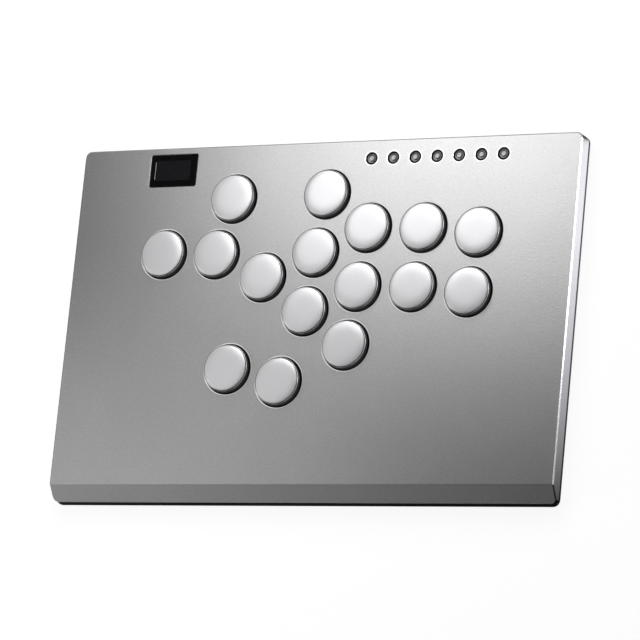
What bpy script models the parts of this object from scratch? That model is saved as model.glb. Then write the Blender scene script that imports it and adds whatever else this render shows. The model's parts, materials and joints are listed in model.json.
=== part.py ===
"""Slim all-button arcade control panel: a folded sheet cover on a moulded tray,
sixteen round game buttons, seven function buttons and a small status display.

Lengths are in millimetres here and go through MM on their way into Blender.
The origin is the centre of the footprint on the surface the panel rests on;
+X is the player's right, +Y points away from the player, +Z is up.
"""

import math

import bmesh
import bpy
from mathutils import Vector

MM = 0.001

# Overall size
WIDTH = 257.0
DEPTH = 169.0
TOP_Z = 11.4
CORNER_R = 3.2
GAP = 0.3

# Folded sheet cover
SHEET = 1.5
WALL_DROP = 7.4
LIP_SETBACK = 0.6
LIP_RUN = 7.6
LIP_ANGLE = math.radians(37.0)
HOLE_CHAMFER = 0.35

# Moulded tray under the cover
FOOT_Z = 1.8
TRAY_FLOOR = 1.2
TRAY_RIM_Z = TOP_Z - WALL_DROP - GAP
TRAY_RIM = 4.0
TRAY_INSET = 0.2

# Game buttons
BUTTON_HOLE_R = 12.0
BUTTON_SEGMENTS = 24
CAP_R = 11.3
CAP_PROUD = 3.0
CAP_ROUND = 1.1
CAP_WALL = 1.1
CAP_ROOF = 1.3
CAP_SKIRT_Z = 8.4
CAP_STEM_R = 2.2
CAP_STEM_Z = 8.0

# Button layout: rows of buttons PITCH apart, rows ROW_PITCH apart
PITCH = 28.0
ROW_PITCH = 27.7
LAYOUT_Y = 4.1
ACTION_START = (-0.2, 27.8)
DIRECTION_START = (-79.8, 28.8)
THUMB_START = (-40.1, -26.5)
ACTION_STEPS = (23.2, -1.4, -5.9)
DIRECTION_STEPS = (-1.4, -24.2)
THUMB_STEP = -13.1
ROW_DROP_ANGLE = -95.2
ACTION_THUMB_ANGLE = -35.9
UPPER_MID_ANGLE = 83.6
UPPER_LEFT_ANGLE = 76.8
UPPER_LEFT_REACH = 27.2

# Function buttons, a straight line along the back
FUNCTION_COUNT = 7
FUNCTION_PITCH = 11.07
FUNCTION_RIGHT_X = 90.2
FUNCTION_Y = 71.7 + LAYOUT_Y
FUNCTION_HOLE_R = 3.0
PLUNGER_R = 2.4
PLUNGER_TOP_Z = TOP_Z - 0.4
PLUNGER_NUB_R = 1.2
PLUNGER_NUB_Z = TOP_Z - 0.1
PLUNGER_FLANGE_R = 3.7
PLUNGER_FLANGE_Z = (9.0, 9.6)
PLUNGER_STEM_R = 1.1
PLUNGER_STEM_Z = 7.4

# Status display
DISPLAY_CENTRE = (-79.8, 69.5 + LAYOUT_Y)
DISPLAY_OPENING = (25.0, 15.6)
DISPLAY_CORNER_R = 1.0
WINDOW_RECESS = 0.2
WINDOW_THICK = 1.2
MODULE_SIZE = (27.0, 18.6)
MODULE_Z = (8.0, 9.6)
MODULE_CORNER = 0.8
HEADER_SIZE = (11.0, 2.5)
HEADER_OFFSET_Y = -7.5

# Circuit board and what is soldered on it
BOARD_Z = (3.4, 4.6)
BOARD_MARGIN = 1.2
BOARD_CORNER = 2.0
ON_BOARD_Z = BOARD_Z[1] + GAP
SWITCH_SIZE = 14.0
SWITCH_TOP_Z = 9.6
SWITCH_BORE_R = 2.8
SWITCH_CORNER = 1.0
TACT_SIZE = 4.6
TACT_TOP_Z = 8.2
TACT_BORE_R = 1.5
TACT_BORE_Z = 6.4
TACT_SEGMENTS = 8
CHIP_SIZE = 10.0
CHIP_TOP_Z = 6.1
CHIP_CORNER = 0.4
CHIP_CENTRE = (-104.0, 8.0)
USB_SIZE = (9.0, 7.4, 3.2)
USB_CORNER_R = 1.0
USB_SHELL = 0.4
USB_FLOOR = 0.8
USB_X = -36.0
USB_RECESS = 0.5
USB_CLEARANCE = 0.4

# Fixings and feet
BOSS_R = 3.0
BOSS_BORE_R = 1.5
BOSS_BORE_TOP_Z = 8.8
BOARD_BOSS_HOLE_R = 3.5
SCREW_X = 118.0
SCREW_Y = (-64.0, 74.0)
SCREW_HEAD_R = 2.3
SCREW_HEAD_Z = FOOT_Z + 0.1
SCREW_NECK_Z = FOOT_Z + 1.3
SCREW_R = 1.2
SCREW_TOP_Z = 8.2
DRIVE_R = 0.9
DRIVE_DEPTH = 0.7
SCREW_HOLE_GAP = 0.35
SCREW_NECK_GAP = 0.2
SCREW_SEGMENTS = 12
FOOT_LENGTH = 196.0
FOOT_DEPTH = 9.0
FOOT_TOP_Z = FOOT_Z - GAP
FOOT_CORNER_R = 4.4
FOOT_Y = (-72.0, 72.0)

BACK_Y = DEPTH / 2
LIP_Y = -DEPTH / 2 + LIP_SETBACK
FOLD_Y = LIP_Y + LIP_RUN
WALL_Z = TOP_Z - WALL_DROP
OVERCUT = 2.0
SMALL_SEGMENTS = 16
SHARP_ANGLE = math.radians(30.0)


def clear_scene():
    for obj in list(bpy.data.objects):
        bpy.data.objects.remove(obj, do_unlink=True)


def make_material(name, colour, roughness, metallic):
    material = bpy.data.materials.new(name)
    material.use_nodes = True
    shader = material.node_tree.nodes["Principled BSDF"]
    shader.inputs["Base Color"].default_value = (*colour, 1.0)
    shader.inputs["Roughness"].default_value = roughness
    shader.inputs["Metallic"].default_value = metallic
    return material


def add_object(name, mesh, location=(0, 0, 0), parent=None):
    obj = bpy.data.objects.new(name, mesh)
    obj.location = Vector(location) * MM
    obj.parent = parent
    bpy.context.scene.collection.objects.link(obj)
    return obj


def finish_mesh(name, bm, material):
    bmesh.ops.recalc_face_normals(bm, faces=bm.faces)
    bmesh.ops.scale(bm, vec=(MM, MM, MM), verts=bm.verts)
    mesh = bpy.data.meshes.new(name)
    bm.to_mesh(mesh)
    bm.free()
    if material:
        mesh.materials.append(material)
    mesh.shade_smooth()
    mesh.set_sharp_from_angle(angle=SHARP_ANGLE)
    return mesh


def arc(centre, radius, start, end, steps):
    """Points of an arc between two angles in degrees, both ends included."""
    points = []
    for i in range(steps + 1):
        angle = math.radians(start + (end - start) * i / steps)
        points.append((centre[0] + radius * math.cos(angle), centre[1] + radius * math.sin(angle)))
    return points


def rounded_rectangle(width, depth, radius, centre=(0, 0), steps=4):
    points = []
    for sx, sy, start in ((1, 1, 0), (-1, 1, 90), (-1, -1, 180), (1, -1, 270)):
        corner = (centre[0] + sx * (width / 2 - radius), centre[1] + sy * (depth / 2 - radius))
        points += arc(corner, radius, start, start + 90, steps)
    return points


def prism(bm, outline, low, high, axis="z"):
    """Extrude a closed outline. Along z it lies in (x, y); along x in (y, z); along y in (x, z)."""
    place = {
        "z": lambda a, b, t: (a, b, t),
        "x": lambda a, b, t: (t, a, b),
        "y": lambda a, b, t: (a, t, b),
    }[axis]
    base = [bm.verts.new(place(a, b, low)) for a, b in outline]
    face = bm.faces.new(base)
    moved = bmesh.ops.extrude_face_region(bm, geom=[face])["geom"]
    offset = Vector(place(0, 0, high - low))
    bmesh.ops.translate(bm, vec=offset, verts=[v for v in moved if isinstance(v, bmesh.types.BMVert)])


def box(bm, centre, size, low, high, chamfer=0.0):
    """A plate between two heights, its upright corners chamfered."""
    if chamfer:
        outline = rounded_rectangle(size[0], size[1], chamfer, centre, steps=1)
    else:
        x, y = size[0] / 2, size[1] / 2
        corners = ((x, y), (-x, y), (-x, -y), (x, -y))
        outline = [(centre[0] + a, centre[1] + b) for a, b in corners]
    prism(bm, outline, low, high)


def turn(bm, profile, segments, centre=(0, 0)):
    """Spin a half profile of (radius, z) points about an upright axis; it starts and ends on the axis."""
    rings = []
    for radius, z in profile:
        if radius == 0:
            rings.append([bm.verts.new((centre[0], centre[1], z))])
            continue
        ring = []
        for i in range(segments):
            angle = 2 * math.pi * i / segments
            x = centre[0] + radius * math.cos(angle)
            y = centre[1] + radius * math.sin(angle)
            ring.append(bm.verts.new((x, y, z)))
        rings.append(ring)
    for lower, upper in zip(rings, rings[1:]):
        for i in range(segments):
            j = (i + 1) % segments
            corners = [lower[i % len(lower)], lower[j % len(lower)]]
            corners += [upper[j % len(upper)], upper[i % len(upper)]]
            bm.faces.new(list(dict.fromkeys(corners)))


def solid_from(name, material, build, location=(0, 0, 0), parent=None):
    bm = bmesh.new()
    build(bm)
    return add_object(name, finish_mesh(name, bm, material), location, parent)


def cut(obj, name, build, operation="DIFFERENCE"):
    """Boolean obj with a helper solid, which is left out of every render."""
    cutter = solid_from(name, None, build)
    cutter.hide_render = True
    cutter.display_type = "WIRE"
    modifier = obj.modifiers.new(name, "BOOLEAN")
    modifier.operation = operation
    modifier.solver = "EXACT"
    modifier.object = cutter


def step_from(start, angle, reach):
    angle = math.radians(angle)
    return (start[0] + reach * math.cos(angle), start[1] + reach * math.sin(angle))


def row_from(start, angles):
    row = [start]
    for angle in angles:
        row.append(step_from(row[-1], angle, PITCH))
    return row


def button_layout():
    """Names and centres of the sixteen game buttons, in the panel's own frame."""
    upper = row_from(ACTION_START, ACTION_STEPS)
    lower = [step_from(point, ROW_DROP_ANGLE, ROW_PITCH) for point in upper]
    direction = row_from(DIRECTION_START, DIRECTION_STEPS)
    places = {f"action_upper_{i + 1}": point for i, point in enumerate(upper)}
    places.update({f"action_lower_{i + 1}": point for i, point in enumerate(lower)})
    places.update(zip(("direction_left", "direction_down", "direction_right"), direction))
    places["upper_mid"] = step_from(upper[0], UPPER_MID_ANGLE, ROW_PITCH)
    places["upper_left"] = step_from(direction[1], UPPER_LEFT_ANGLE, UPPER_LEFT_REACH)
    places["thumb_right"] = step_from(lower[0], ACTION_THUMB_ANGLE, ROW_PITCH)
    places["thumb_left"] = THUMB_START
    places["thumb_mid"] = step_from(THUMB_START, THUMB_STEP, PITCH)
    return {name: (x, y + LAYOUT_Y) for name, (x, y) in places.items()}


def function_layout():
    first_x = FUNCTION_RIGHT_X - FUNCTION_PITCH * (FUNCTION_COUNT - 1)
    return {f"function_{i + 1}": (first_x + FUNCTION_PITCH * i, FUNCTION_Y) for i in range(FUNCTION_COUNT)}


def screw_places():
    places = {}
    for side, x in (("left", -SCREW_X), ("right", SCREW_X)):
        for end, y in zip(("front", "rear"), SCREW_Y):
            places[f"{end}_{side}"] = (x, y)
    return places


def cover_profile():
    """Side view of the cover in (y, z): back wall, top, sloped front lip and its square-cut end."""
    lip_drop = LIP_RUN * math.tan(LIP_ANGLE)
    end_y = LIP_Y + SHEET * math.sin(LIP_ANGLE)
    end_z = TOP_Z - lip_drop - SHEET * math.cos(LIP_ANGLE)
    return [
        (BACK_Y, WALL_Z),
        (BACK_Y, TOP_Z),
        (FOLD_Y, TOP_Z),
        (LIP_Y, TOP_Z - lip_drop),
        (end_y, end_z),
        (end_y + (end_z - WALL_Z), WALL_Z),
    ]


def cavity_profile():
    """The cover's inside in (y, z), one sheet thickness in, open below and under the lip."""
    inner_fold_y = FOLD_Y + SHEET * math.tan(LIP_ANGLE / 2)
    inner_z = TOP_Z - SHEET
    back_y = BACK_Y - SHEET
    low_z = WALL_Z - OVERCUT
    run = (inner_z - low_z) / math.tan(LIP_ANGLE)
    return [(back_y, low_z), (back_y, inner_z), (inner_fold_y, inner_z), (inner_fold_y - run, low_z)]


def chamfered_bore(bm, radius, chamfer, segments, centre):
    profile = [
        (0, TOP_Z - SHEET - OVERCUT),
        (radius, TOP_Z - SHEET - OVERCUT),
        (radius, TOP_Z - chamfer),
        (radius + chamfer + OVERCUT, TOP_Z + OVERCUT),
        (0, TOP_Z + OVERCUT),
    ]
    turn(bm, profile, segments, centre)


def build_cover(material):
    half = WIDTH / 2
    cover = solid_from("top_cover", material, lambda bm: prism(bm, cover_profile(), -half, half, "x"))

    def footprint(bm):
        outline = rounded_rectangle(WIDTH, BACK_Y - LIP_Y, CORNER_R, (0, (BACK_Y + LIP_Y) / 2))
        prism(bm, outline, WALL_Z - OVERCUT, TOP_Z + OVERCUT)

    def cavity(bm):
        prism(bm, cavity_profile(), -half + SHEET, half - SHEET, "x")

    def bosses(bm):
        low = FOOT_Z + TRAY_FLOOR + GAP
        high = TOP_Z - SHEET / 2
        for place in screw_places().values():
            turn(bm, [(0, low), (BOSS_R, low), (BOSS_R, high), (0, high)], SMALL_SEGMENTS, place)

    def openings(bm):
        for place in button_layout().values():
            chamfered_bore(bm, BUTTON_HOLE_R, HOLE_CHAMFER, BUTTON_SEGMENTS, place)
        for place in function_layout().values():
            chamfered_bore(bm, FUNCTION_HOLE_R, HOLE_CHAMFER, SMALL_SEGMENTS, place)
        outline = rounded_rectangle(*DISPLAY_OPENING, DISPLAY_CORNER_R, DISPLAY_CENTRE)
        prism(bm, outline, TOP_Z - SHEET - OVERCUT, TOP_Z + OVERCUT)
        low, high = FOOT_Z, BOSS_BORE_TOP_Z
        for place in screw_places().values():
            turn(bm, [(0, low), (BOSS_BORE_R, low), (BOSS_BORE_R, high), (0, high)], SCREW_SEGMENTS, place)

    def usb_opening(bm):
        width = USB_SIZE[0] + 2 * USB_CLEARANCE
        height = USB_SIZE[2] + 2 * USB_CLEARANCE
        middle = (USB_X, ON_BOARD_Z + USB_SIZE[2] / 2)
        outline = rounded_rectangle(width, height, USB_CORNER_R + USB_CLEARANCE, middle)
        prism(bm, outline, BACK_Y - SHEET - OVERCUT, BACK_Y + OVERCUT, "y")

    cut(cover, "cover_footprint", footprint, "INTERSECT")
    cut(cover, "cover_cavity", cavity)
    cut(cover, "cover_bosses", bosses, "UNION")
    cut(cover, "cover_openings", openings)
    cut(cover, "cover_usb_opening", usb_opening)
    return cover


def build_tray(material):
    def body(bm):
        outline = rounded_rectangle(WIDTH - 2 * TRAY_INSET, DEPTH, CORNER_R)
        prism(bm, outline, FOOT_Z, TRAY_RIM_Z)

    def pocket(bm):
        outline = rounded_rectangle(WIDTH - 2 * TRAY_RIM, DEPTH - 2 * TRAY_RIM, CORNER_R)
        prism(bm, outline, FOOT_Z + TRAY_FLOOR, TRAY_RIM_Z + OVERCUT)

    def screw_holes(bm):
        slope = (SCREW_HEAD_R - SCREW_R) / (SCREW_NECK_Z - SCREW_HEAD_Z)
        wide = SCREW_HEAD_R + SCREW_HOLE_GAP + slope * (SCREW_HEAD_Z - FOOT_Z + OVERCUT)
        narrow = SCREW_R + SCREW_HOLE_GAP
        low = FOOT_Z - OVERCUT
        neck = SCREW_NECK_Z - SCREW_NECK_GAP
        high = FOOT_Z + TRAY_FLOOR + OVERCUT
        for place in screw_places().values():
            profile = [(0, low), (wide, low), (narrow, neck), (narrow, high), (0, high)]
            turn(bm, profile, SMALL_SEGMENTS, place)

    tray = solid_from("base_tray", material, body)
    cut(tray, "tray_pocket", pocket)
    cut(tray, "tray_screw_holes", screw_holes)
    return tray


def build_board(material):
    depth = BACK_Y - FOLD_Y - SHEET - 2 * BOARD_MARGIN - TRAY_RIM
    width = WIDTH - 2 * (TRAY_RIM + BOARD_MARGIN)
    centre = (0, BACK_Y - TRAY_RIM - BOARD_MARGIN - depth / 2)

    def clearance_holes(bm):
        low, high = BOARD_Z[0] - OVERCUT, BOARD_Z[1] + OVERCUT
        radius = BOARD_BOSS_HOLE_R
        for place in screw_places().values():
            turn(bm, [(0, low), (radius, low), (radius, high), (0, high)], SMALL_SEGMENTS, place)

    board = solid_from("main_board", material,
                       lambda bm: box(bm, centre, (width, depth), *BOARD_Z, BOARD_CORNER))
    cut(board, "board_clearance_holes", clearance_holes)
    return board


def cap_mesh(material):
    """Hollow button cap with a rounded upper edge and a round stem that enters the switch."""
    top = TOP_Z + CAP_PROUD
    edge = arc((CAP_R - CAP_ROUND, top - CAP_ROUND), CAP_ROUND, 90, 0, 2)
    profile = [(0, top)] + edge + [
        (CAP_R, CAP_SKIRT_Z),
        (CAP_R - CAP_WALL, CAP_SKIRT_Z),
        (CAP_R - CAP_WALL, top - CAP_ROOF),
        (CAP_STEM_R, top - CAP_ROOF),
        (CAP_STEM_R, CAP_STEM_Z),
        (0, CAP_STEM_Z),
    ]
    bm = bmesh.new()
    turn(bm, profile, BUTTON_SEGMENTS)
    return finish_mesh("button_cap", bm, material)


def switch_mesh(material):
    """Low-profile switch housing, square with chamfered corners and a round bore for the stem."""
    bm = bmesh.new()
    outer = rounded_rectangle(SWITCH_SIZE, SWITCH_SIZE, SWITCH_CORNER, steps=1)
    count = len(outer)
    bore = arc((0, 0), SWITCH_BORE_R, 180 / count, 360 - 180 / count, count - 1)
    levels = ((outer, ON_BOARD_Z), (outer, SWITCH_TOP_Z), (bore, SWITCH_TOP_Z), (bore, ON_BOARD_Z))
    rings = [[bm.verts.new((x, y, z)) for x, y in outline] for outline, z in levels]
    for ring, following in zip(rings, rings[1:] + rings[:1]):
        for i in range(count):
            j = (i + 1) % count
            bm.faces.new((ring[i], ring[j], following[j], following[i]))
    return finish_mesh("switch_housing", bm, material)


def plunger_mesh(material):
    """Function button: a head with a raised nub, a flange that stops it under the cover, and a stem."""
    low, high = PLUNGER_FLANGE_Z
    profile = [
        (0, PLUNGER_NUB_Z),
        (PLUNGER_NUB_R, PLUNGER_NUB_Z),
        (PLUNGER_NUB_R, PLUNGER_TOP_Z),
        (PLUNGER_R, PLUNGER_TOP_Z),
        (PLUNGER_R, high),
        (PLUNGER_FLANGE_R, high),
        (PLUNGER_FLANGE_R, low),
        (PLUNGER_STEM_R, low),
        (PLUNGER_STEM_R, PLUNGER_STEM_Z),
        (0, PLUNGER_STEM_Z),
    ]
    bm = bmesh.new()
    turn(bm, profile, SMALL_SEGMENTS)
    return finish_mesh("function_plunger", bm, material)


def tact_mesh(material):
    """Tact switch under a function button: an eight-sided case with a blind bore."""
    bm = bmesh.new()
    profile = [(0, ON_BOARD_Z), (TACT_SIZE / 2, ON_BOARD_Z), (TACT_SIZE / 2, TACT_TOP_Z)]
    profile += [(TACT_BORE_R, TACT_TOP_Z), (TACT_BORE_R, TACT_BORE_Z), (0, TACT_BORE_Z)]
    turn(bm, profile, TACT_SEGMENTS)
    return finish_mesh("tact_switch", bm, material)


def build_game_buttons(cap_material, switch_material):
    cap = cap_mesh(cap_material)
    housing = switch_mesh(switch_material)
    for name, (x, y) in button_layout().items():
        add_object(f"cap_{name}", cap, (x, y, 0))
        add_object(f"switch_{name}", housing, (x, y, 0))


def build_function_buttons(plunger_material, tact_material):
    plunger = plunger_mesh(plunger_material)
    tact = tact_mesh(tact_material)
    for name, (x, y) in function_layout().items():
        add_object(f"plunger_{name}", plunger, (x, y, 0))
        add_object(f"tact_{name}", tact, (x, y, 0))


def build_display(window_material, module_material):
    width = DISPLAY_OPENING[0] - 2 * GAP
    depth = DISPLAY_OPENING[1] - 2 * GAP
    high = TOP_Z - WINDOW_RECESS

    def window(bm):
        outline = rounded_rectangle(width, depth, DISPLAY_CORNER_R - GAP, DISPLAY_CENTRE)
        prism(bm, outline, high - WINDOW_THICK, high)

    def header(bm):
        centre = (DISPLAY_CENTRE[0], DISPLAY_CENTRE[1] + HEADER_OFFSET_Y)
        box(bm, centre, HEADER_SIZE, ON_BOARD_Z, sum(MODULE_Z) / 2)

    solid_from("display_window", window_material, window)
    module = solid_from("display_module", module_material,
                        lambda bm: box(bm, DISPLAY_CENTRE, MODULE_SIZE, *MODULE_Z, MODULE_CORNER))
    cut(module, "module_header", header, "UNION")


def build_usb_port(material):
    width, depth, height = USB_SIZE
    mouth_y = BACK_Y - USB_RECESS
    middle = (USB_X, ON_BOARD_Z + height / 2)

    def shell(bm):
        outline = rounded_rectangle(width, height, USB_CORNER_R, middle)
        prism(bm, outline, mouth_y - depth, mouth_y, "y")

    def socket(bm):
        wall = USB_SHELL
        outline = rounded_rectangle(width - 2 * wall, height - 2 * wall, USB_CORNER_R - wall, middle)
        prism(bm, outline, mouth_y - depth + USB_FLOOR, mouth_y + OVERCUT, "y")

    port = solid_from("usb_port", material, shell)
    cut(port, "usb_socket", socket)


def build_controller_chip(material):
    size = (CHIP_SIZE, CHIP_SIZE)
    solid_from("controller_chip", material,
               lambda bm: box(bm, CHIP_CENTRE, size, ON_BOARD_Z, CHIP_TOP_Z, CHIP_CORNER))


def screw_mesh(material):
    """Countersunk screw, head down, with a blind drive recess."""
    drive_z = SCREW_HEAD_Z + DRIVE_DEPTH
    profile = [
        (0, drive_z),
        (DRIVE_R, drive_z),
        (DRIVE_R, SCREW_HEAD_Z),
        (SCREW_HEAD_R, SCREW_HEAD_Z),
        (SCREW_R, SCREW_NECK_Z),
        (SCREW_R, SCREW_TOP_Z),
        (0, SCREW_TOP_Z),
    ]
    bm = bmesh.new()
    turn(bm, profile, SCREW_SEGMENTS)
    return finish_mesh("base_screw", bm, material)


def build_screws(material):
    screw = screw_mesh(material)
    for name, (x, y) in screw_places().items():
        add_object(f"base_screw_{name}", screw, (x, y, 0))


def build_feet(material):
    for name, y in zip(("front", "rear"), FOOT_Y):
        outline = rounded_rectangle(FOOT_LENGTH, FOOT_DEPTH, FOOT_CORNER_R)
        foot = solid_from(f"foot_strip_{name}", material, lambda bm: prism(bm, outline, 0, FOOT_TOP_Z))
        foot.location = Vector((0, y, 0)) * MM


def main():
    clear_scene()
    satin_aluminium = make_material("satin_aluminium", (0.62, 0.62, 0.63), 0.38, 1.0)
    black_plastic = make_material("black_plastic", (0.015, 0.015, 0.016), 0.45, 0.0)
    silver_cap = make_material("silver_cap", (0.72, 0.71, 0.74), 0.32, 0.85)
    switch_plastic = make_material("switch_plastic", (0.05, 0.05, 0.055), 0.5, 0.0)
    grey_plunger = make_material("grey_plunger", (0.42, 0.42, 0.43), 0.4, 0.0)
    tinted_glass = make_material("tinted_glass", (0.01, 0.01, 0.012), 0.08, 0.0)
    board_green = make_material("board_mask", (0.012, 0.05, 0.03), 0.4, 0.0)
    steel = make_material("steel", (0.55, 0.55, 0.56), 0.3, 1.0)
    rubber = make_material("rubber", (0.02, 0.02, 0.02), 0.8, 0.0)

    build_cover(satin_aluminium)
    build_tray(black_plastic)
    build_board(board_green)
    build_game_buttons(silver_cap, switch_plastic)
    build_function_buttons(grey_plunger, switch_plastic)
    build_display(tinted_glass, switch_plastic)
    build_usb_port(steel)
    build_controller_chip(switch_plastic)
    build_screws(steel)
    build_feet(rubber)


main()
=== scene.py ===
"""Looks of the slim all-button arcade control panel: fine meshes, materials, studio and camera."""

import json
import math

import bmesh
import bpy
from mathutils import Euler, Matrix, Vector


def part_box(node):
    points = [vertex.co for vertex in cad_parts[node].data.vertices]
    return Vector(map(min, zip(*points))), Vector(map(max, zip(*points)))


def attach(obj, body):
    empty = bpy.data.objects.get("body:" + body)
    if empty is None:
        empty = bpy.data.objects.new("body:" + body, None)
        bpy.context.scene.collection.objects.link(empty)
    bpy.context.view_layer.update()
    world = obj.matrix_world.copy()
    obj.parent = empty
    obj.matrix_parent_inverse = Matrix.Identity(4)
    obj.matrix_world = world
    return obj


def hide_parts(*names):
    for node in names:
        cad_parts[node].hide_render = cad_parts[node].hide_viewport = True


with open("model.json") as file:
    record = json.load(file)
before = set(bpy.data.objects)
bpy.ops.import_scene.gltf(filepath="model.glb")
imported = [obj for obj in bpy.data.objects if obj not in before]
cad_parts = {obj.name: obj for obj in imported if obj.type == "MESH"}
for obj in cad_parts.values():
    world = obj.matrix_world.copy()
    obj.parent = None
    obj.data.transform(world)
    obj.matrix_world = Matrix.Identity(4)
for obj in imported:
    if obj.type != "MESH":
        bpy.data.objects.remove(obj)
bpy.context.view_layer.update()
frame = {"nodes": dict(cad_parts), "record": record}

MM = 0.001

# Cover details, in millimetres
SHEET = 1.5
WALL_DROP = 7.4
LIP_RUN = 7.6
LIP_ANGLE = math.radians(37.0)
CORNER_R = 3.2
FOLD_ROUND = 0.3
EDGE_CHAMFER = 0.55
HOLE_R = 12.0
FUNCTION_HOLE_R = 3.0
HOLE_CHAMFER = 0.35
FUNCTION_CHAMFER = 0.2
FUNCTION_RING = 0.35
WINDOW_GAP = 0.25
WINDOW_CORNER_R = 0.9
OVERCUT = 2.0

# Button cap details
CAP_DOME = 0.3
CAP_EDGE_R = 1.25
# Shoulder angles in degrees: silver paint down to the first; below it a dark side of painted shade, with a band of
# painted highlight between the next pair
CAP_PAINT_TO = 52.0
CAP_HIGHLIGHT_BAND = (40.0, 28.0)
CAP_WALL = 1.1
CAP_ROOF = 1.3
CAP_STEM_R = 2.2

# Camera, fitted to the viewing angle: metres and degrees
CAMERA_PLACE = (0.8788, -0.4177, 1.6468)
CAMERA_TARGET = (0.0054, 0.0, 0.0114)
CAMERA_ROLL = 62.02
CAMERA_LENS = 234.9

PRESS_BUTTONS = sorted(n for n in frame["nodes"] if n.startswith("cap_"))
FUNCTION_BUTTONS = sorted(n for n in frame["nodes"] if n.startswith("plunger_"))
SCREWS = sorted(n for n in frame["nodes"] if n.startswith("base_screw_"))

BODY_OF = {}
for body_name, members in frame["record"]["behaviour"]["bodies"].items():
    for member in members:
        BODY_OF[member] = body_name


# ---------------------------------------------------------------- shapes

def box_mm(node):
    low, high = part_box(node)
    return low / MM, high / MM


def centre_mm(node):
    low, high = box_mm(node)
    return ((low.x + high.x) / 2, (low.y + high.y) / 2)


def arc(centre, radius, start, end, steps):
    points = []
    for i in range(steps + 1):
        angle = math.radians(start + (end - start) * i / steps)
        points.append((centre[0] + radius * math.cos(angle), centre[1] + radius * math.sin(angle)))
    return points


def rounded_rectangle(width, depth, radius, centre=(0, 0), steps=10):
    points = []
    for sx, sy, start in ((1, 1, 0), (-1, 1, 90), (-1, -1, 180), (1, -1, 270)):
        corner = (centre[0] + sx * (width / 2 - radius), centre[1] + sy * (depth / 2 - radius))
        points += arc(corner, radius, start, start + 90, steps)
    return points


def prism(bm, outline, low, high, axis="z"):
    place = {
        "z": lambda a, b, t: (a, b, t),
        "x": lambda a, b, t: (t, a, b),
        "y": lambda a, b, t: (a, t, b),
    }[axis]
    base = [bm.verts.new(place(a, b, low)) for a, b in outline]
    face = bm.faces.new(base)
    moved = bmesh.ops.extrude_face_region(bm, geom=[face])["geom"]
    offset = Vector(place(0, 0, high - low))
    bmesh.ops.translate(bm, vec=offset, verts=[v for v in moved if isinstance(v, bmesh.types.BMVert)])


def loft(bm, levels):
    """Skin a stack of (outline, z) levels that have equal point counts, and cap both ends."""
    skin(bm, [[bm.verts.new((x, y, z)) for x, y in outline] for outline, z in levels])


def skin(bm, rings):
    for lower, upper in zip(rings, rings[1:]):
        for i in range(len(lower)):
            j = (i + 1) % len(lower)
            bm.faces.new((lower[i], lower[j], upper[j], upper[i]))
    bm.faces.new(rings[0])
    bm.faces.new(rings[-1])


def turn(bm, profile, segments, centre=(0, 0)):
    """Spin (radius, z) or (radius, z, slot) points about an upright axis; slot is the next band's material."""
    rings = []
    for point in profile:
        radius, z = point[0], point[1]
        if radius == 0:
            rings.append([bm.verts.new((centre[0], centre[1], z))])
            continue
        ring = []
        for i in range(segments):
            angle = 2 * math.pi * i / segments
            x = centre[0] + radius * math.cos(angle)
            y = centre[1] + radius * math.sin(angle)
            ring.append(bm.verts.new((x, y, z)))
        rings.append(ring)
    for k in range(len(rings) - 1):
        lower, upper = rings[k], rings[k + 1]
        slot = profile[k][2] if len(profile[k]) > 2 else 0
        for i in range(segments):
            j = (i + 1) % segments
            corners = [lower[i % len(lower)], lower[j % len(lower)], upper[j % len(upper)], upper[i % len(upper)]]
            face = bm.faces.new(list(dict.fromkeys(corners)))
            face.material_index = slot


def mesh_from(name, bm, materials, sharp=35.0):
    bmesh.ops.recalc_face_normals(bm, faces=bm.faces)
    bmesh.ops.scale(bm, vec=(MM, MM, MM), verts=bm.verts)
    mesh = bpy.data.meshes.new(name)
    bm.to_mesh(mesh)
    bm.free()
    for material in materials:
        mesh.materials.append(material)
    mesh.shade_smooth()
    mesh.set_sharp_from_angle(angle=math.radians(sharp))
    return mesh


def add_piece(name, mesh, location=(0, 0, 0)):
    obj = bpy.data.objects.new(name, mesh)
    obj.location = Vector(location) * MM
    bpy.context.scene.collection.objects.link(obj)
    return obj


def built(name, build, materials=(), sharp=35.0):
    bm = bmesh.new()
    build(bm)
    return add_piece(name, mesh_from(name, bm, materials, sharp))


def boolean(obj, build, operation="DIFFERENCE"):
    cutter = built(f"{obj.name}_cutter", build)
    modifier = obj.modifiers.new(cutter.name, "BOOLEAN")
    modifier.operation = operation
    modifier.solver = "EXACT"
    modifier.object = cutter
    apply_modifiers(obj)
    bpy.data.objects.remove(cutter, do_unlink=True)


def bevel(obj, width, segments=4, angle=30.0):
    modifier = obj.modifiers.new("edge", "BEVEL")
    modifier.width = width * MM
    modifier.segments = segments
    modifier.limit_method = "ANGLE"
    modifier.angle_limit = math.radians(angle)
    modifier.harden_normals = False
    apply_modifiers(obj)


def apply_modifiers(obj):
    """Bake the modifier stack into the mesh."""
    bpy.context.view_layer.update()
    evaluated = obj.evaluated_get(bpy.context.evaluated_depsgraph_get())
    mesh = bpy.data.meshes.new_from_object(evaluated)
    obj.modifiers.clear()
    obj.data = mesh


def shade(obj, sharp=35.0):
    """Smooth shading that leaves the large flat faces flat up to their rounded edges."""
    obj.data.shade_smooth()
    obj.data.set_sharp_from_angle(angle=math.radians(sharp))
    modifier = obj.modifiers.new("flat_faces", "WEIGHTED_NORMAL")
    modifier.weight = 100
    modifier.keep_sharp = True
    apply_modifiers(obj)


def fit(obj, node, slot_name, *others):
    """The piece stands for a CAD node and rides on its body; slot_name is not used."""
    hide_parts(node, *others)
    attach(obj, BODY_OF[node])
    return obj


# ---------------------------------------------------------------- materials

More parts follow.
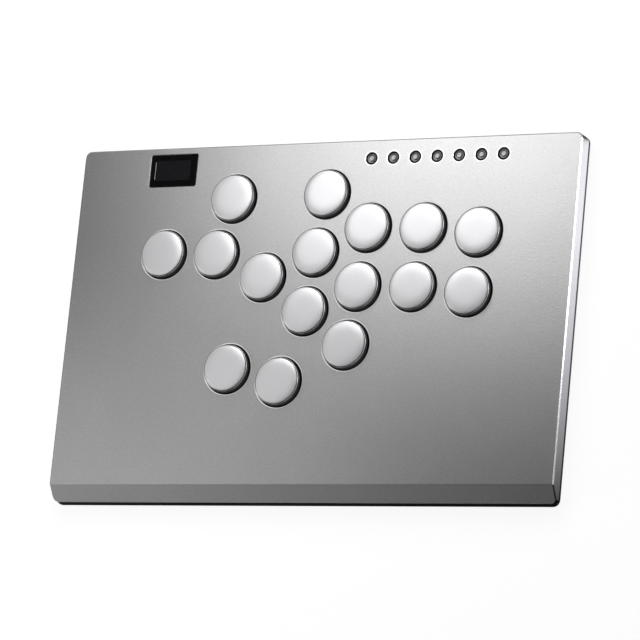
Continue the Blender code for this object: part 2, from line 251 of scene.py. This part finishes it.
class Nodes:
    """A node material under construction, starting from its Principled shader."""

    def __init__(self, name):
        self.material = bpy.data.materials.new(name)
        self.material.use_nodes = True
        self.tree = self.material.node_tree
        self.shader = self.tree.nodes["Principled BSDF"]

    def add(self, kind, **values):
        node = self.tree.nodes.new(kind)
        for key, value in values.items():
            if hasattr(node, key):
                setattr(node, key, value)
            else:
                node.inputs[key.replace("_", " ")].default_value = value
        return node

    def link(self, source, output, target, entry):
        self.tree.links.new(source.outputs[output], target.inputs[entry])

    def set(self, **values):
        for key, value in values.items():
            self.shader.inputs[key.replace("_", " ")].default_value = value

    def noise(self, scale, detail=2.0, roughness=0.5, stretch=None):
        coordinates = self.add("ShaderNodeTexCoord")
        mapping = self.add("ShaderNodeMapping")
        if stretch:
            mapping.inputs["Scale"].default_value = stretch
        noise = self.add("ShaderNodeTexNoise", Scale=scale, Detail=detail, Roughness=roughness)
        self.link(coordinates, "Object", mapping, "Vector")
        self.link(mapping, "Vector", noise, "Vector")
        return noise

    def ramp(self, source, output, low, high, start=0.3, end=0.7):
        """Map a value to colours between low and high."""
        ramp = self.add("ShaderNodeValToRGB")
        ramp.color_ramp.elements[0].position = start
        ramp.color_ramp.elements[0].color = (*low, 1.0)
        ramp.color_ramp.elements[1].position = end
        ramp.color_ramp.elements[1].color = (*high, 1.0)
        self.link(source, output, ramp, "Fac")
        return ramp

    def spread(self, source, output, low, high):
        """Map a 0 to 1 value to the range low to high."""
        span = self.add("ShaderNodeMapRange")
        span.inputs["To Min"].default_value = low
        span.inputs["To Max"].default_value = high
        self.link(source, output, span, "Value")
        return span

    def bump(self, source, output, strength, distance):
        bump = self.add("ShaderNodeBump", Strength=strength, Distance=distance)
        self.link(source, output, bump, "Height")
        self.link(bump, "Normal", self.shader, "Normal")
        return bump


def grey(value):
    return (value, value, value)


def satin_aluminium():
    m = Nodes("satin_aluminium")
    m.set(Metallic=1.0)
    clouds = m.noise(35.0, detail=3.0)
    tone = m.ramp(clouds, "Fac", grey(0.83), grey(0.86))
    blast = m.noise(1300.0, detail=2.0)
    speck = m.ramp(blast, "Fac", grey(0.89), grey(1.0))
    shade_of_grain = m.add("ShaderNodeVectorMath", operation="MULTIPLY")
    m.link(tone, "Color", shade_of_grain, 0)
    m.link(speck, "Color", shade_of_grain, 1)
    m.link(shade_of_grain, "Vector", m.shader, "Base Color")
    rough = m.spread(blast, "Fac", 0.36, 0.40)
    m.link(rough, "Result", m.shader, "Roughness")
    m.bump(blast, "Fac", 0.5, 0.00008)
    return m.material


def cut_edge(name, glow):
    """Diamond-cut chamfer; its glow is emission, a painted highlight that lifts the hairline rings round the holes, too
    thin to catch a softbox.
    """
    m = Nodes(name)
    m.set(Metallic=1.0, Base_Color=(0.93, 0.93, 0.94, 1.0))
    m.set(Emission_Color=(1.0, 1.0, 1.0, 1.0), Emission_Strength=glow)
    lines = m.noise(900.0, detail=2.0)
    rough = m.spread(lines, "Fac", 0.14, 0.24)
    m.link(rough, "Result", m.shader, "Roughness")
    return m.material


def cap_silver():
    m = Nodes("cap_silver")
    m.set(Metallic=0.55)
    clouds = m.noise(120.0, detail=2.0)
    tone = m.ramp(clouds, "Fac", (0.915, 0.91, 0.93), (0.935, 0.93, 0.945))
    m.link(tone, "Color", m.shader, "Base Color")
    coordinates = m.add("ShaderNodeTexCoord")
    rings = m.add("ShaderNodeTexWave", wave_type="RINGS", rings_direction="Z", Scale=950.0, Distortion=0.4)
    m.link(coordinates, "Object", rings, "Vector")
    rough = m.spread(rings, "Fac", 0.29, 0.33)
    m.link(rough, "Result", m.shader, "Roughness")
    m.bump(rings, "Fac", 0.05, 0.00001)
    return m.material


def moulded_plastic(name, low, high, roughness, grain=1500.0, strength=0.15):
    m = Nodes(name)
    texture = m.noise(grain, detail=2.0)
    tone = m.ramp(texture, "Fac", low, high)
    m.link(tone, "Color", m.shader, "Base Color")
    rough = m.spread(texture, "Fac", roughness - 0.05, roughness + 0.05)
    m.link(rough, "Result", m.shader, "Roughness")
    m.bump(texture, "Fac", strength, 0.00005)
    return m.material


def plain_metal(name, low, high, roughness, stretch=None):
    m = Nodes(name)
    m.set(Metallic=1.0)
    texture = m.noise(700.0, detail=2.0, stretch=stretch)
    tone = m.ramp(texture, "Fac", low, high)
    m.link(tone, "Color", m.shader, "Base Color")
    rough = m.spread(texture, "Fac", roughness - 0.04, roughness + 0.04)
    m.link(rough, "Result", m.shader, "Roughness")
    return m.material


def window_gloss():
    m = Nodes("window_gloss")
    m.set(Roughness=0.06, IOR=1.49, Coat_Weight=0.4, Coat_Roughness=0.03)
    haze = m.noise(300.0)
    tone = m.ramp(haze, "Fac", grey(0.006), grey(0.009))
    m.link(tone, "Color", m.shader, "Base Color")
    return m.material


def screen_glass():
    m = Nodes("screen_glass")
    m.set(Roughness=0.12, IOR=1.5)
    haze = m.noise(900.0)
    tone = m.ramp(haze, "Fac", (0.014, 0.014, 0.016), (0.02, 0.02, 0.023))
    m.link(tone, "Color", m.shader, "Base Color")
    return m.material


def solder_mask():
    m = Nodes("solder_mask")
    coordinates = m.add("ShaderNodeTexCoord")
    tracks = m.add("ShaderNodeTexBrick", Scale=120.0, Mortar_Size=0.03)
    tracks.inputs["Color1"].default_value = (0.006, 0.035, 0.018, 1.0)
    tracks.inputs["Color2"].default_value = (0.008, 0.045, 0.022, 1.0)
    tracks.inputs["Mortar"].default_value = (0.015, 0.09, 0.04, 1.0)
    m.link(coordinates, "Object", tracks, "Vector")
    m.link(tracks, "Color", m.shader, "Base Color")
    m.set(Roughness=0.35)
    m.bump(tracks, "Fac", 0.2, 0.00003)
    return m.material


def rubber_black():
    return moulded_plastic("rubber_black", grey(0.012), grey(0.02), 0.75, grain=2600.0, strength=0.3)


# ---------------------------------------------------------------- cover

def cover_profile(top, back_y, lip_y):
    drop = LIP_RUN * math.tan(LIP_ANGLE)
    wall_z = top - WALL_DROP
    end_y = lip_y + SHEET * math.sin(LIP_ANGLE)
    end_z = top - drop - SHEET * math.cos(LIP_ANGLE)
    return [
        (back_y, wall_z),
        (back_y, top),
        (lip_y + LIP_RUN, top),
        (lip_y, top - drop),
        (end_y, end_z),
        (end_y + (end_z - wall_z), wall_z),
    ]


def cavity_profile(top, back_y, lip_y):
    inner_fold_y = lip_y + LIP_RUN + SHEET * math.tan(LIP_ANGLE / 2)
    inner_z = top - SHEET
    low_z = top - WALL_DROP - OVERCUT
    run = (inner_z - low_z) / math.tan(LIP_ANGLE)
    return [(back_y - SHEET, low_z), (back_y - SHEET, inner_z), (inner_fold_y, inner_z), (inner_fold_y - run, low_z)]


def bore(bm, top, radius, chamfer, centre, segments):
    profile = [
        (0, top - SHEET - OVERCUT),
        (radius, top - SHEET - OVERCUT),
        (radius, top - chamfer),
        (radius + chamfer + OVERCUT, top + OVERCUT),
        (0, top + OVERCUT),
    ]
    turn(bm, profile, segments, centre)


def mark_cut_edges(obj, top, half, back_y, holes, window):
    """Slot 1 on the outer and window chamfers; slot 2 round the holes, whose glow is a painted highlight; slot 3, dark
    metal painted as shade, on hole walls and front corners.
    """
    def near(centre, x, y, reach):
        return centre.z > top - SHEET and math.hypot(centre.x - x, centre.y - y) < reach

    for face in obj.data.polygons:
        centre = face.center / MM
        by_a_hole = any(near(centre, *hole) for hole in holes)
        by_the_window = near(centre, *window)
        outer = abs(centre.x) > half - 1.0 or centre.y > back_y - 1.0
        if 0.45 < face.normal.z < 0.85:
            if outer and face.normal.y < -0.2:
                face.material_index = 3
            elif outer or by_the_window:
                face.material_index = 1
            elif by_a_hole:
                face.material_index = 2
        # hole, window and front-facing faces take slot 3, dark metal painted as shade
        elif abs(face.normal.z) < 0.45 and (by_a_hole or by_the_window or face.normal.y < -0.35):
            face.material_index = 3


# the third material glows as a painted highlight round the holes; the fourth is dark metal painted as shade
def build_cover(metal, edge, ring, painted_shade_wall):
    low, high = box_mm("top_cover")
    top, back_y, lip_y, half = high.z, high.y, low.y, high.x
    wall_z = top - WALL_DROP
    cover = built("cover_shell", lambda bm: prism(bm, cover_profile(top, back_y, lip_y), -half, half, "x"),
                  (metal, edge, ring, painted_shade_wall))

    bevel(cover, FOLD_ROUND, 3)

    def footprint(bm):
        levels = []
        over = 1.0
        for inset, z in ((0, wall_z - over), (0, top - EDGE_CHAMFER), (EDGE_CHAMFER + over, top + over)):
            middle = (0, (back_y + lip_y) / 2)
            levels.append((rounded_rectangle(2 * (half - inset), back_y - lip_y - 2 * inset, CORNER_R - inset,
                                             middle, steps=12), z))
        loft(bm, levels)

    boolean(cover, footprint, "INTERSECT")

    def lip_edges(bm):
        over = 1.0
        run = 2 * LIP_RUN
        for side in (-1, 1):
            corners = ((half - EDGE_CHAMFER - over, over), (half + over, over), (half + over, -EDGE_CHAMFER - over))
            ends = []
            for along in (-run, run):
                ends.append([bm.verts.new((
                    side * x,
                    lip_y + LIP_RUN + along * math.cos(LIP_ANGLE) - up * math.sin(LIP_ANGLE),
                    top + along * math.sin(LIP_ANGLE) + up * math.cos(LIP_ANGLE),
                )) for x, up in corners])
            skin(bm, ends)

    boolean(cover, lip_edges)
    boolean(cover, lambda bm: prism(bm, cavity_profile(top, back_y, lip_y), -half + SHEET, half - SHEET, "x"))

    def bosses(bm):
        for screw in SCREWS:
            turn(bm, [(0, low.z), (3.0, low.z), (3.0, top - SHEET / 2), (0, top - SHEET / 2)], 40, centre_mm(screw))

    boolean(cover, bosses, "UNION")

    window_low, window_high = box_mm("display_window")
    window_centre = centre_mm("display_window")
    width = window_high.x - window_low.x + 2 * WINDOW_GAP
    depth = window_high.y - window_low.y + 2 * WINDOW_GAP

    def openings(bm):
        for node in PRESS_BUTTONS:
            bore(bm, top, HOLE_R, HOLE_CHAMFER, centre_mm(node), 128)
        for node in FUNCTION_BUTTONS:
            bore(bm, top, FUNCTION_HOLE_R, FUNCTION_CHAMFER, centre_mm(node), 64)
        outline = rounded_rectangle(width, depth, WINDOW_CORNER_R, window_centre, steps=8)
        prism(bm, outline, top - SHEET - OVERCUT, top + OVERCUT)
        for screw in SCREWS:
            turn(bm, [(0, low.z - 1), (1.5, low.z - 1), (1.5, 8.8), (0, 8.8)], 32, centre_mm(screw))

    boolean(cover, openings)

    def window_chamfer(bm):
        levels = []
        for grow, z in ((0, top - HOLE_CHAMFER), (HOLE_CHAMFER + 1.0, top + 1.0)):
            outline = rounded_rectangle(width + 2 * grow, depth + 2 * grow, WINDOW_CORNER_R + grow, window_centre, 8)
            levels.append((outline, z))
        loft(bm, levels)

    boolean(cover, window_chamfer)

    def usb_opening(bm):
        usb_low, usb_high = box_mm("usb_port")
        middle = ((usb_low.x + usb_high.x) / 2, (usb_low.z + usb_high.z) / 2)
        height = usb_high.z - usb_low.z + 0.8
        outline = rounded_rectangle(usb_high.x - usb_low.x + 0.8, height, height * 0.4, middle, steps=10)
        prism(bm, outline, back_y - SHEET - OVERCUT, back_y + OVERCUT, "y")

    boolean(cover, usb_opening)
    holes = [(*centre_mm(node), HOLE_R + 0.6) for node in PRESS_BUTTONS]
    holes += [(*centre_mm(node), FUNCTION_HOLE_R + 0.6) for node in FUNCTION_BUTTONS]
    window = (*window_centre, math.hypot(width, depth) / 2 + 0.6)
    mark_cut_edges(cover, top, half, back_y, holes, window)
    shade(cover, 28.0)
    return fit(cover, "top_cover", "cover_metal")


# ---------------------------------------------------------------- buttons

def cap_profile(low, high, radius):
    """Silver-painted dome and shoulder (slot 0); dark side, inside and stem (slot 1), the dark side a painted shade; a
    thin bright band (slot 2), a painted highlight.
    """
    top = high.z
    flat_r = radius - CAP_EDGE_R
    profile = [(0, top)]
    steps = 18
    for i in range(1, steps + 1):
        r = flat_r * i / steps
        profile.append((r, top - CAP_DOME * (r / flat_r) ** 6))
    edge_angle = 90 - math.degrees(math.atan(6 * CAP_DOME / flat_r))
    centre_r = flat_r - CAP_EDGE_R * math.cos(math.radians(edge_angle))
    centre_z = top - CAP_DOME - CAP_EDGE_R * math.sin(math.radians(edge_angle))
    reach = radius - centre_r
    shoulder = arc((centre_r, centre_z), CAP_EDGE_R, edge_angle, CAP_PAINT_TO, 7)[1:]
    profile += [(r, z) for r, z in shoulder]
    lower = arc((centre_r, centre_z), CAP_EDGE_R, CAP_PAINT_TO, CAP_HIGHLIGHT_BAND[0], 1)[:-1]
    lower += arc((centre_r, centre_z), CAP_EDGE_R, *CAP_HIGHLIGHT_BAND, 1)
    lower += arc((centre_r, centre_z), CAP_EDGE_R, CAP_HIGHLIGHT_BAND[1], 0, 5)[1:]
    stretch = (reach - CAP_EDGE_R * math.cos(math.radians(CAP_PAINT_TO))) / (
        CAP_EDGE_R * (1 - math.cos(math.radians(CAP_PAINT_TO))))
    start_r = lower[0][0]
    # slot 1 is the dark side, painted shade; slot 2 is the bright band, a painted highlight
    for i, (r, z) in enumerate(lower):
        profile.append((start_r + (r - start_r) * stretch, z, 2 if i == 1 else 1))
    foot = 0.25
    inside = [
        (radius, low.z + foot + 0.4),
        (radius - foot, low.z + 0.4),
        (radius - CAP_WALL, low.z + 0.4),
        (radius - CAP_WALL, top - CAP_ROOF - 0.4),
        (radius - CAP_WALL - 0.4, top - CAP_ROOF),
        (CAP_STEM_R + 0.3, top - CAP_ROOF),
        (CAP_STEM_R, top - CAP_ROOF - 0.3),
        (CAP_STEM_R, low.z + 0.3),
        (CAP_STEM_R - 0.3, low.z),
        (0, low.z),
    ]
    return profile + [(r, z, 1) for r, z in inside]


# the second material is painted shade on the cap sides, the third a painted highlight band
def build_caps(silver, side, painted_highlight_line):
    low, high = box_mm(PRESS_BUTTONS[0])
    radius = (high.x - low.x) / 2
    bm = bmesh.new()
    turn(bm, cap_profile(low, high, radius), 96)
    mesh = mesh_from("button_cap", bm, (silver, side, painted_highlight_line), 40.0)
    lit = bpy.data.collections.new("painted_caps")
    for node in PRESS_BUTTONS:
        piece = add_piece(f"button_{node}", mesh, (*centre_mm(node), 0))
        lit.objects.link(piece)
        fit(piece, node, "button_cap")
    return lit


def build_function_rings(material):
    """Polished rings, a hair proud of the cover, round the function button holes, in the glowing material whose
    emission is a painted highlight.
    """
    top = box_mm("top_cover")[1].z
    inner = FUNCTION_HOLE_R + FUNCTION_CHAMFER
    outer = inner + FUNCTION_RING
    profile = [(inner, top - 0.1), (outer, top - 0.1), (outer, top + 0.01), (outer - 0.05, top + 0.03),
               (inner + 0.05, top + 0.03), (inner, top), (inner, top - 0.1)]
    bm = bmesh.new()
    turn(bm, profile, 64)
    bmesh.ops.remove_doubles(bm, verts=bm.verts, dist=0.0001)
    mesh = mesh_from("function_ring", bm, (material,), 40.0)
    for i, node in enumerate(FUNCTION_BUTTONS):
        ring = add_piece(f"function_ring_{i + 1}", mesh, (*centre_mm(node), 0))
        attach(ring, BODY_OF["top_cover"])


def build_function_buttons(satin, bright, dark):
    """Dished shoulder (slot 0) with a small raised nub (slot 1); side, captive flange and stem (slot 2) in dark metal
    painted as shade.
    """
    low, high = box_mm(FUNCTION_BUTTONS[0])
    flange_r = (high.x - low.x) / 2
    head_r, head_z = 2.4, high.z - 0.3
    nub_r, stem_r = 1.15, 1.1
    edge_r = 0.3
    flange_top = high.z - 1.7
    profile = [(0, high.z - 0.06, 1), (nub_r * 0.6, high.z - 0.03, 1)]
    profile += [(r, z, 1) for r, z in arc((nub_r - 0.15, high.z - 0.15), 0.15, 90, 0, 4)]
    profile += [(nub_r, head_z - 0.12), (nub_r + 0.12, head_z - 0.25), (head_r - 0.5, head_z - 0.03)]
    lower = arc((head_r - edge_r, head_z - edge_r), edge_r, 90, 0, 5)
    lower += [(head_r, flange_top)]
    lower += arc((flange_r - 0.15, flange_top - 0.15), 0.15, 90, 0, 3)
    lower += [(flange_r, flange_top - 0.6), (stem_r, flange_top - 0.6), (stem_r, low.z), (0, low.z)]
    profile += [(r, z, 2) for r, z in lower]
    bm = bmesh.new()
    turn(bm, profile, 48)
    mesh = mesh_from("function_button", bm, (satin, bright, dark), 40.0)
    for node in FUNCTION_BUTTONS:
        piece = add_piece(f"button_{node}", mesh, (*centre_mm(node), 0))
        fit(piece, node, "function_button")


# ---------------------------------------------------------------- display

def build_window(gloss, screen, painted_highlight_line):
    low, high = box_mm("display_window")
    centre = centre_mm("display_window")
    width, depth = high.x - low.x + 0.4, high.y - low.y + 0.4
    window = built("window_pane", lambda bm: prism(
        bm, rounded_rectangle(width, depth, 0.7, centre, steps=8), low.z, high.z), (gloss,))
    bevel(window, 0.12, 3)

    def screen_recess(bm):
        outline = rounded_rectangle(18.6, 9.8, 0.25, (centre[0] - 0.3, centre[1]), steps=4)
        prism(bm, outline, high.z - 0.12, high.z + 1.0)

    boolean(window, screen_recess)
    shade(window)
    fit(window, "display_window", "window")
    pane = built("screen_pane", lambda bm: prism(
        bm, rounded_rectangle(18.4, 9.6, 0.2, (centre[0] - 0.3, centre[1]), steps=4), high.z - 0.3, high.z - 0.08),
        (screen,))
    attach(pane, BODY_OF["display_window"])
    # a light strip at the screen's left edge: a painted highlight
    edge = built("screen_edge_painted_highlight", lambda bm: prism(
        bm, rounded_rectangle(0.28, 8.6, 0.13, (centre[0] - 9.75, centre[1]), steps=3), high.z - 0.2, high.z + 0.05),
        (painted_highlight_line,))
    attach(edge, BODY_OF["display_window"])


# ---------------------------------------------------------------- tray, feet, screws

def build_tray(plastic):
    low, high = box_mm("base_tray")
    width, depth = high.x - low.x, high.y - low.y
    rim, floor = 4.0, 1.2
    tray = built("tray_body", lambda bm: prism(
        bm, rounded_rectangle(width, depth, CORNER_R, steps=12), low.z, high.z), (plastic,))
    bevel(tray, 0.35, 3)
    boolean(tray, lambda bm: prism(
        bm, rounded_rectangle(width - 2 * rim, depth - 2 * rim, CORNER_R, steps=8), low.z + floor, high.z + OVERCUT))

    def screw_holes(bm):
        for node in SCREWS:
            profile = [(0, low.z - 1), (2.65, low.z - 1), (2.65, low.z + 0.15), (1.55, low.z + 1.1), (1.55, high.z + 1),
                       (0, high.z + 1)]
            turn(bm, profile, 48, centre_mm(node))

    boolean(tray, screw_holes)
    shade(tray)
    fit(tray, "base_tray", "tray_plastic")


def build_feet(rubber):
    for end in ("front", "rear"):
        node = f"foot_strip_{end}"
        low, high = box_mm(node)
        size = high - low
        foot = built(f"{node}_pad", lambda bm: prism(
            bm, rounded_rectangle(size.x, size.y, size.y / 2 - 0.05, centre_mm(node), steps=14), low.z, high.z),
            (rubber,))
        bevel(foot, 0.4, 3)
        shade(foot)
        fit(foot, node, "rubber")


def build_screws(steel):
    low, high = box_mm(SCREWS[0])
    head_r, shank_r = (high.x - low.x) / 2, 1.2
    neck_z = low.z + 1.2

    def body(bm):
        profile = [(0, low.z), (head_r - 0.1, low.z), (head_r, low.z + 0.12), (shank_r, neck_z)]
        turns = 12
        for i in range(turns):
            z = neck_z + 0.4 + i * 0.4
            profile += [(shank_r, z), (shank_r - 0.18, z + 0.2)]
        profile += [(shank_r, high.z - 0.3), (shank_r - 0.3, high.z), (0, high.z)]
        turn(bm, profile, 40)

    def socket(bm):
        prism(bm, arc((0, 0), 0.95, 0, 300, 5), low.z - 1, low.z + 0.7)

    screw = built("screw_master", body, (steel,))
    boolean(screw, socket)
    shade(screw)
    mesh = screw.data
    bpy.data.objects.remove(screw, do_unlink=True)
    for node in SCREWS:
        piece = add_piece(f"{node}_fine", mesh, (*centre_mm(node), 0))
        fit(piece, node, "steel")


# ---------------------------------------------------------------- studio

def area_light(name, place, target, size, radiance, colour=(1.0, 1.0, 1.0)):
    """A rectangular softbox; its power is worked out from the radiance of its face."""
    data = bpy.data.lights.new(name, "AREA")
    data.shape = "RECTANGLE"
    data.size, data.size_y = size
    data.energy = radiance * math.pi * size[0] * size[1]
    data.color = colour
    light = bpy.data.objects.new(name, data)
    light.location = place
    light.rotation_euler = (Vector(target) - Vector(place)).to_track_quat("-Z", "Y").to_euler()
    light.visible_camera = False
    bpy.context.scene.collection.objects.link(light)
    return light


def build_lights(painted_caps):
    # Softboxes low over the panel shape the sheen of the cover
    area_light("sheen_back", (-0.079, 0.268, 0.311), (-0.079, 0.268, 0.0), (0.255, 0.333), 1.74)
    area_light("sheen_left", (-0.376, -0.092, 0.311), (-0.376, -0.092, 0.0), (0.50, 0.315), 0.475)
    area_light("sheen_front", (-0.475, -0.751, 0.311), (-0.475, -0.751, 0.0), (0.30, 1.0), 0.52)
    # Small strips around it draw the bright lines along edges and rims
    area_light("rim_right", (0.644, 0.235, 0.286), (0.128, 0.10, 0.011), (0.26, 0.10), 4.0, (0.95, 0.95, 1.0))
    area_light("rim_back", (0.10, 0.90, 0.55), (0.0, 0.0, 0.0), (0.60, 0.35), 4.0)
    area_light("rim_left", (-0.90, -0.25, 0.30), (0.0, 0.0, 0.0), (0.40, 0.16), 4.0)
    # A low key from behind, linked to the painted caps alone, and kept out of their mirror reflections
    key = area_light("key", (-0.525, 1.26, 0.635), (0.0, 0.0, 0.0), (0.20, 0.20), 112.0)
    key.visible_glossy = False
    key.light_linking.receiver_collection = painted_caps


class WorldNodes(Nodes):
    """A node world under construction, starting from its background shader."""

    def __init__(self, name):
        self.world = bpy.data.worlds.new(name)
        self.world.use_nodes = True
        self.tree = self.world.node_tree
        self.shader = self.tree.nodes["Background"]


def build_world():
    """White to the camera; dim in reflections, with a soft glow low on the right for the other views."""
    w = WorldNodes("studio")
    w.set(Color=(1.0, 1.0, 1.0, 1.0))
    direction = w.add("ShaderNodeTexCoord")
    axes = w.add("ShaderNodeSeparateXYZ")
    w.link(direction, "Generated", axes, "Vector")
    right = w.add("ShaderNodeMapRange")
    right.inputs["From Min"].default_value = -0.05
    right.inputs["From Max"].default_value = 0.25
    w.link(axes, "X", right, "Value")
    low = w.add("ShaderNodeMapRange")
    low.inputs["From Min"].default_value = 0.75
    low.inputs["From Max"].default_value = 0.5
    w.link(axes, "Z", low, "Value")
    glow = w.add("ShaderNodeMath", operation="MULTIPLY")
    w.link(right, "Result", glow, 0)
    w.link(low, "Result", glow, 1)
    strength = w.spread(glow, "Value", 0.008, 0.4)
    path = w.add("ShaderNodeLightPath")
    seen = w.add("ShaderNodeMath", operation="MAXIMUM")
    w.link(strength, "Result", seen, 0)
    w.link(path, "Is Camera Ray", seen, 1)
    w.link(seen, "Value", w.shader, "Strength")
    bpy.context.scene.world = w.world


def floor_material():
    """Pale floor: near white to the camera, clear from below; in reflections it glows with painted light towards the
    back right and painted shadow just behind and in front of the panel.
    """
    m = Nodes("pale_floor")
    m.set(Base_Color=(0.25, 0.25, 0.25, 1.0), Roughness=0.9, Emission_Color=(1.0, 1.0, 1.0, 1.0))
    cloud = m.noise(3.0)
    tone = m.ramp(cloud, "Fac", grey(0.24), grey(0.26))
    m.link(tone, "Color", m.shader, "Base Color")
    m.set(Emission_Strength=0.9)
    place = m.add("ShaderNodeNewGeometry")
    axes = m.add("ShaderNodeSeparateXYZ")
    m.link(place, "Position", axes, "Vector")
    across = m.add("ShaderNodeMapRange")
    across.inputs["From Min"].default_value = -0.12
    across.inputs["From Max"].default_value = 0.10
    m.link(axes, "X", across, "Value")
    deep = m.add("ShaderNodeMapRange")
    deep.inputs["From Min"].default_value = -0.1
    deep.inputs["From Max"].default_value = 0.15
    m.link(axes, "Y", deep, "Value")
    # bright band beside the right side, dark just behind and in front of the panel: painted light and painted shadow,
    # seen in reflections
    along = m.add("ShaderNodeValToRGB")
    stops = ((0.05, 0.0), (0.56, 1.0), (0.73, 1.0), (0.745, 0.0))
    elements = along.color_ramp.elements
    elements[0].position, elements[0].color = stops[0][0], (*grey(stops[0][1]), 1.0)
    elements[1].position, elements[1].color = stops[-1][0], (*grey(stops[-1][1]), 1.0)
    for position, value in stops[1:-1]:
        elements.new(position).color = (*grey(value), 1.0)
    m.link(deep, "Result", along, "Fac")
    near = m.add("ShaderNodeMath", operation="MULTIPLY")
    m.link(across, "Result", near, 0)
    m.link(along, "Color", near, 1)
    both = near
    for start, end, value in ((0.10, 0.12, 0.3), (-0.105, -0.125, 0.6)):
        apart = m.add("ShaderNodeMapRange")
        apart.inputs["From Min"].default_value = start
        apart.inputs["From Max"].default_value = end
        apart.inputs["To Max"].default_value = value
        m.link(axes, "Y", apart, "Value")
        brighter = m.add("ShaderNodeMath", operation="MAXIMUM")
        m.link(both, "Value", brighter, 0)
        m.link(apart, "Result", brighter, 1)
        both = brighter
    strength = m.spread(both, "Value", 0.02, 1.15)
    glow = m.add("ShaderNodeEmission", Color=(0.95, 0.95, 1.0, 1.0))
    m.link(strength, "Result", glow, "Strength")
    path = m.add("ShaderNodeLightPath")
    mix = m.add("ShaderNodeMixShader")
    m.link(path, "Is Camera Ray", mix, "Fac")
    m.link(glow, "Emission", mix, 1)
    m.link(m.shader, "BSDF", mix, 2)
    view = m.add("ShaderNodeSeparateXYZ")
    m.link(place, "Incoming", view, "Vector")
    under = m.add("ShaderNodeMath", operation="LESS_THAN")
    under.inputs[1].default_value = 0.0
    m.link(view, "Z", under, 0)
    from_below = m.add("ShaderNodeMath", operation="MULTIPLY")
    m.link(under, "Value", from_below, 0)
    m.link(path, "Is Camera Ray", from_below, 1)
    clear = m.add("ShaderNodeMixShader")
    m.link(from_below, "Value", clear, "Fac")
    m.link(mix, "Shader", clear, 1)
    m.link(m.add("ShaderNodeBsdfTransparent"), "BSDF", clear, 2)
    m.link(clear, "Shader", m.tree.nodes["Material Output"], "Surface")
    return m.material


def build_floor():
    half = 4000.0
    floor = built("floor", lambda bm: prism(bm, ((-half, -half), (half, -half), (half, half), (-half, half)), -20, 0),
                  (floor_material(),))


def build_camera():
    data = bpy.data.cameras.new("camera")
    data.sensor_width = 36.0
    data.lens = CAMERA_LENS
    data.clip_start, data.clip_end = 0.05, 50.0
    camera = bpy.data.objects.new("camera", data)
    place = Vector(CAMERA_PLACE)
    aim = (Vector(CAMERA_TARGET) - place).to_track_quat("-Z", "Y")
    roll = Matrix.Rotation(math.radians(-CAMERA_ROLL), 4, "Z")
    camera.matrix_world = Matrix.Translation(place) @ aim.to_matrix().to_4x4() @ roll
    bpy.context.scene.collection.objects.link(camera)
    bpy.context.scene.camera = camera


# ---------------------------------------------------------------- everything

def dress_carried_nodes(materials):
    """Procedural materials for the CAD nodes that stay in view behind gaps and openings."""
    for name, obj in frame["nodes"].items():
        kind = name.split("_")[0]
        if name in ("main_board", "controller_chip", "display_module", "usb_port"):
            kind = name
        material = materials.get(kind)
        if material is None:
            continue
        obj.data.materials.clear()
        obj.data.materials.append(material)


def main():
    metal = satin_aluminium()
    silver = cap_silver()
    # dark cap sides: painted shade in place of their dark reflection
    side = plain_metal("cap_side_painted_shade", grey(0.05), grey(0.07), 0.3)
    dark = moulded_plastic("dark_plastic", grey(0.018), grey(0.028), 0.5)
    satin = plain_metal("function_satin", grey(0.24), grey(0.28), 0.4)
    nub = plain_metal("function_nub", grey(0.48), grey(0.54), 0.4)
    # bright band on the cap shoulders: a painted highlight
    painted_highlight_line = plain_metal("cap_line_painted_highlight", grey(0.8), grey(0.9), 0.35)
    # dark metal painted as shade on hole, window and lip faces, front corners and function button sides
    painted_shade_wall = plain_metal("dark_metal_painted_shade", grey(0.03), grey(0.05), 0.45)
    tray_plastic = moulded_plastic("tray_plastic", grey(0.006), grey(0.010), 0.42)
    steel = plain_metal("steel", grey(0.5), grey(0.62), 0.28)

    # hole chamfers and function rings glow: a painted highlight
    hole_cut_painted_highlight = cut_edge("hole_cut_painted_highlight", 0.7)
    build_cover(metal, cut_edge("edge_cut", 0.0), hole_cut_painted_highlight, painted_shade_wall)
    build_function_rings(hole_cut_painted_highlight)
    painted_caps = build_caps(silver, side, painted_highlight_line)
    build_function_buttons(satin, nub, painted_shade_wall)
    build_window(window_gloss(), screen_glass(), plain_metal("screen_edge_painted_highlight", grey(0.5), grey(0.7), 0.5))
    build_tray(tray_plastic)
    build_feet(rubber_black())
    build_screws(steel)
    dress_carried_nodes({
        "switch": dark,
        "tact": dark,
        "main_board": solder_mask(),
        "controller_chip": dark,
        "display_module": dark,
        "usb_port": steel,
    })
    build_floor()
    build_lights(painted_caps)
    build_world()
    build_camera()
    bpy.context.scene.view_settings.view_transform = "Standard"


main()
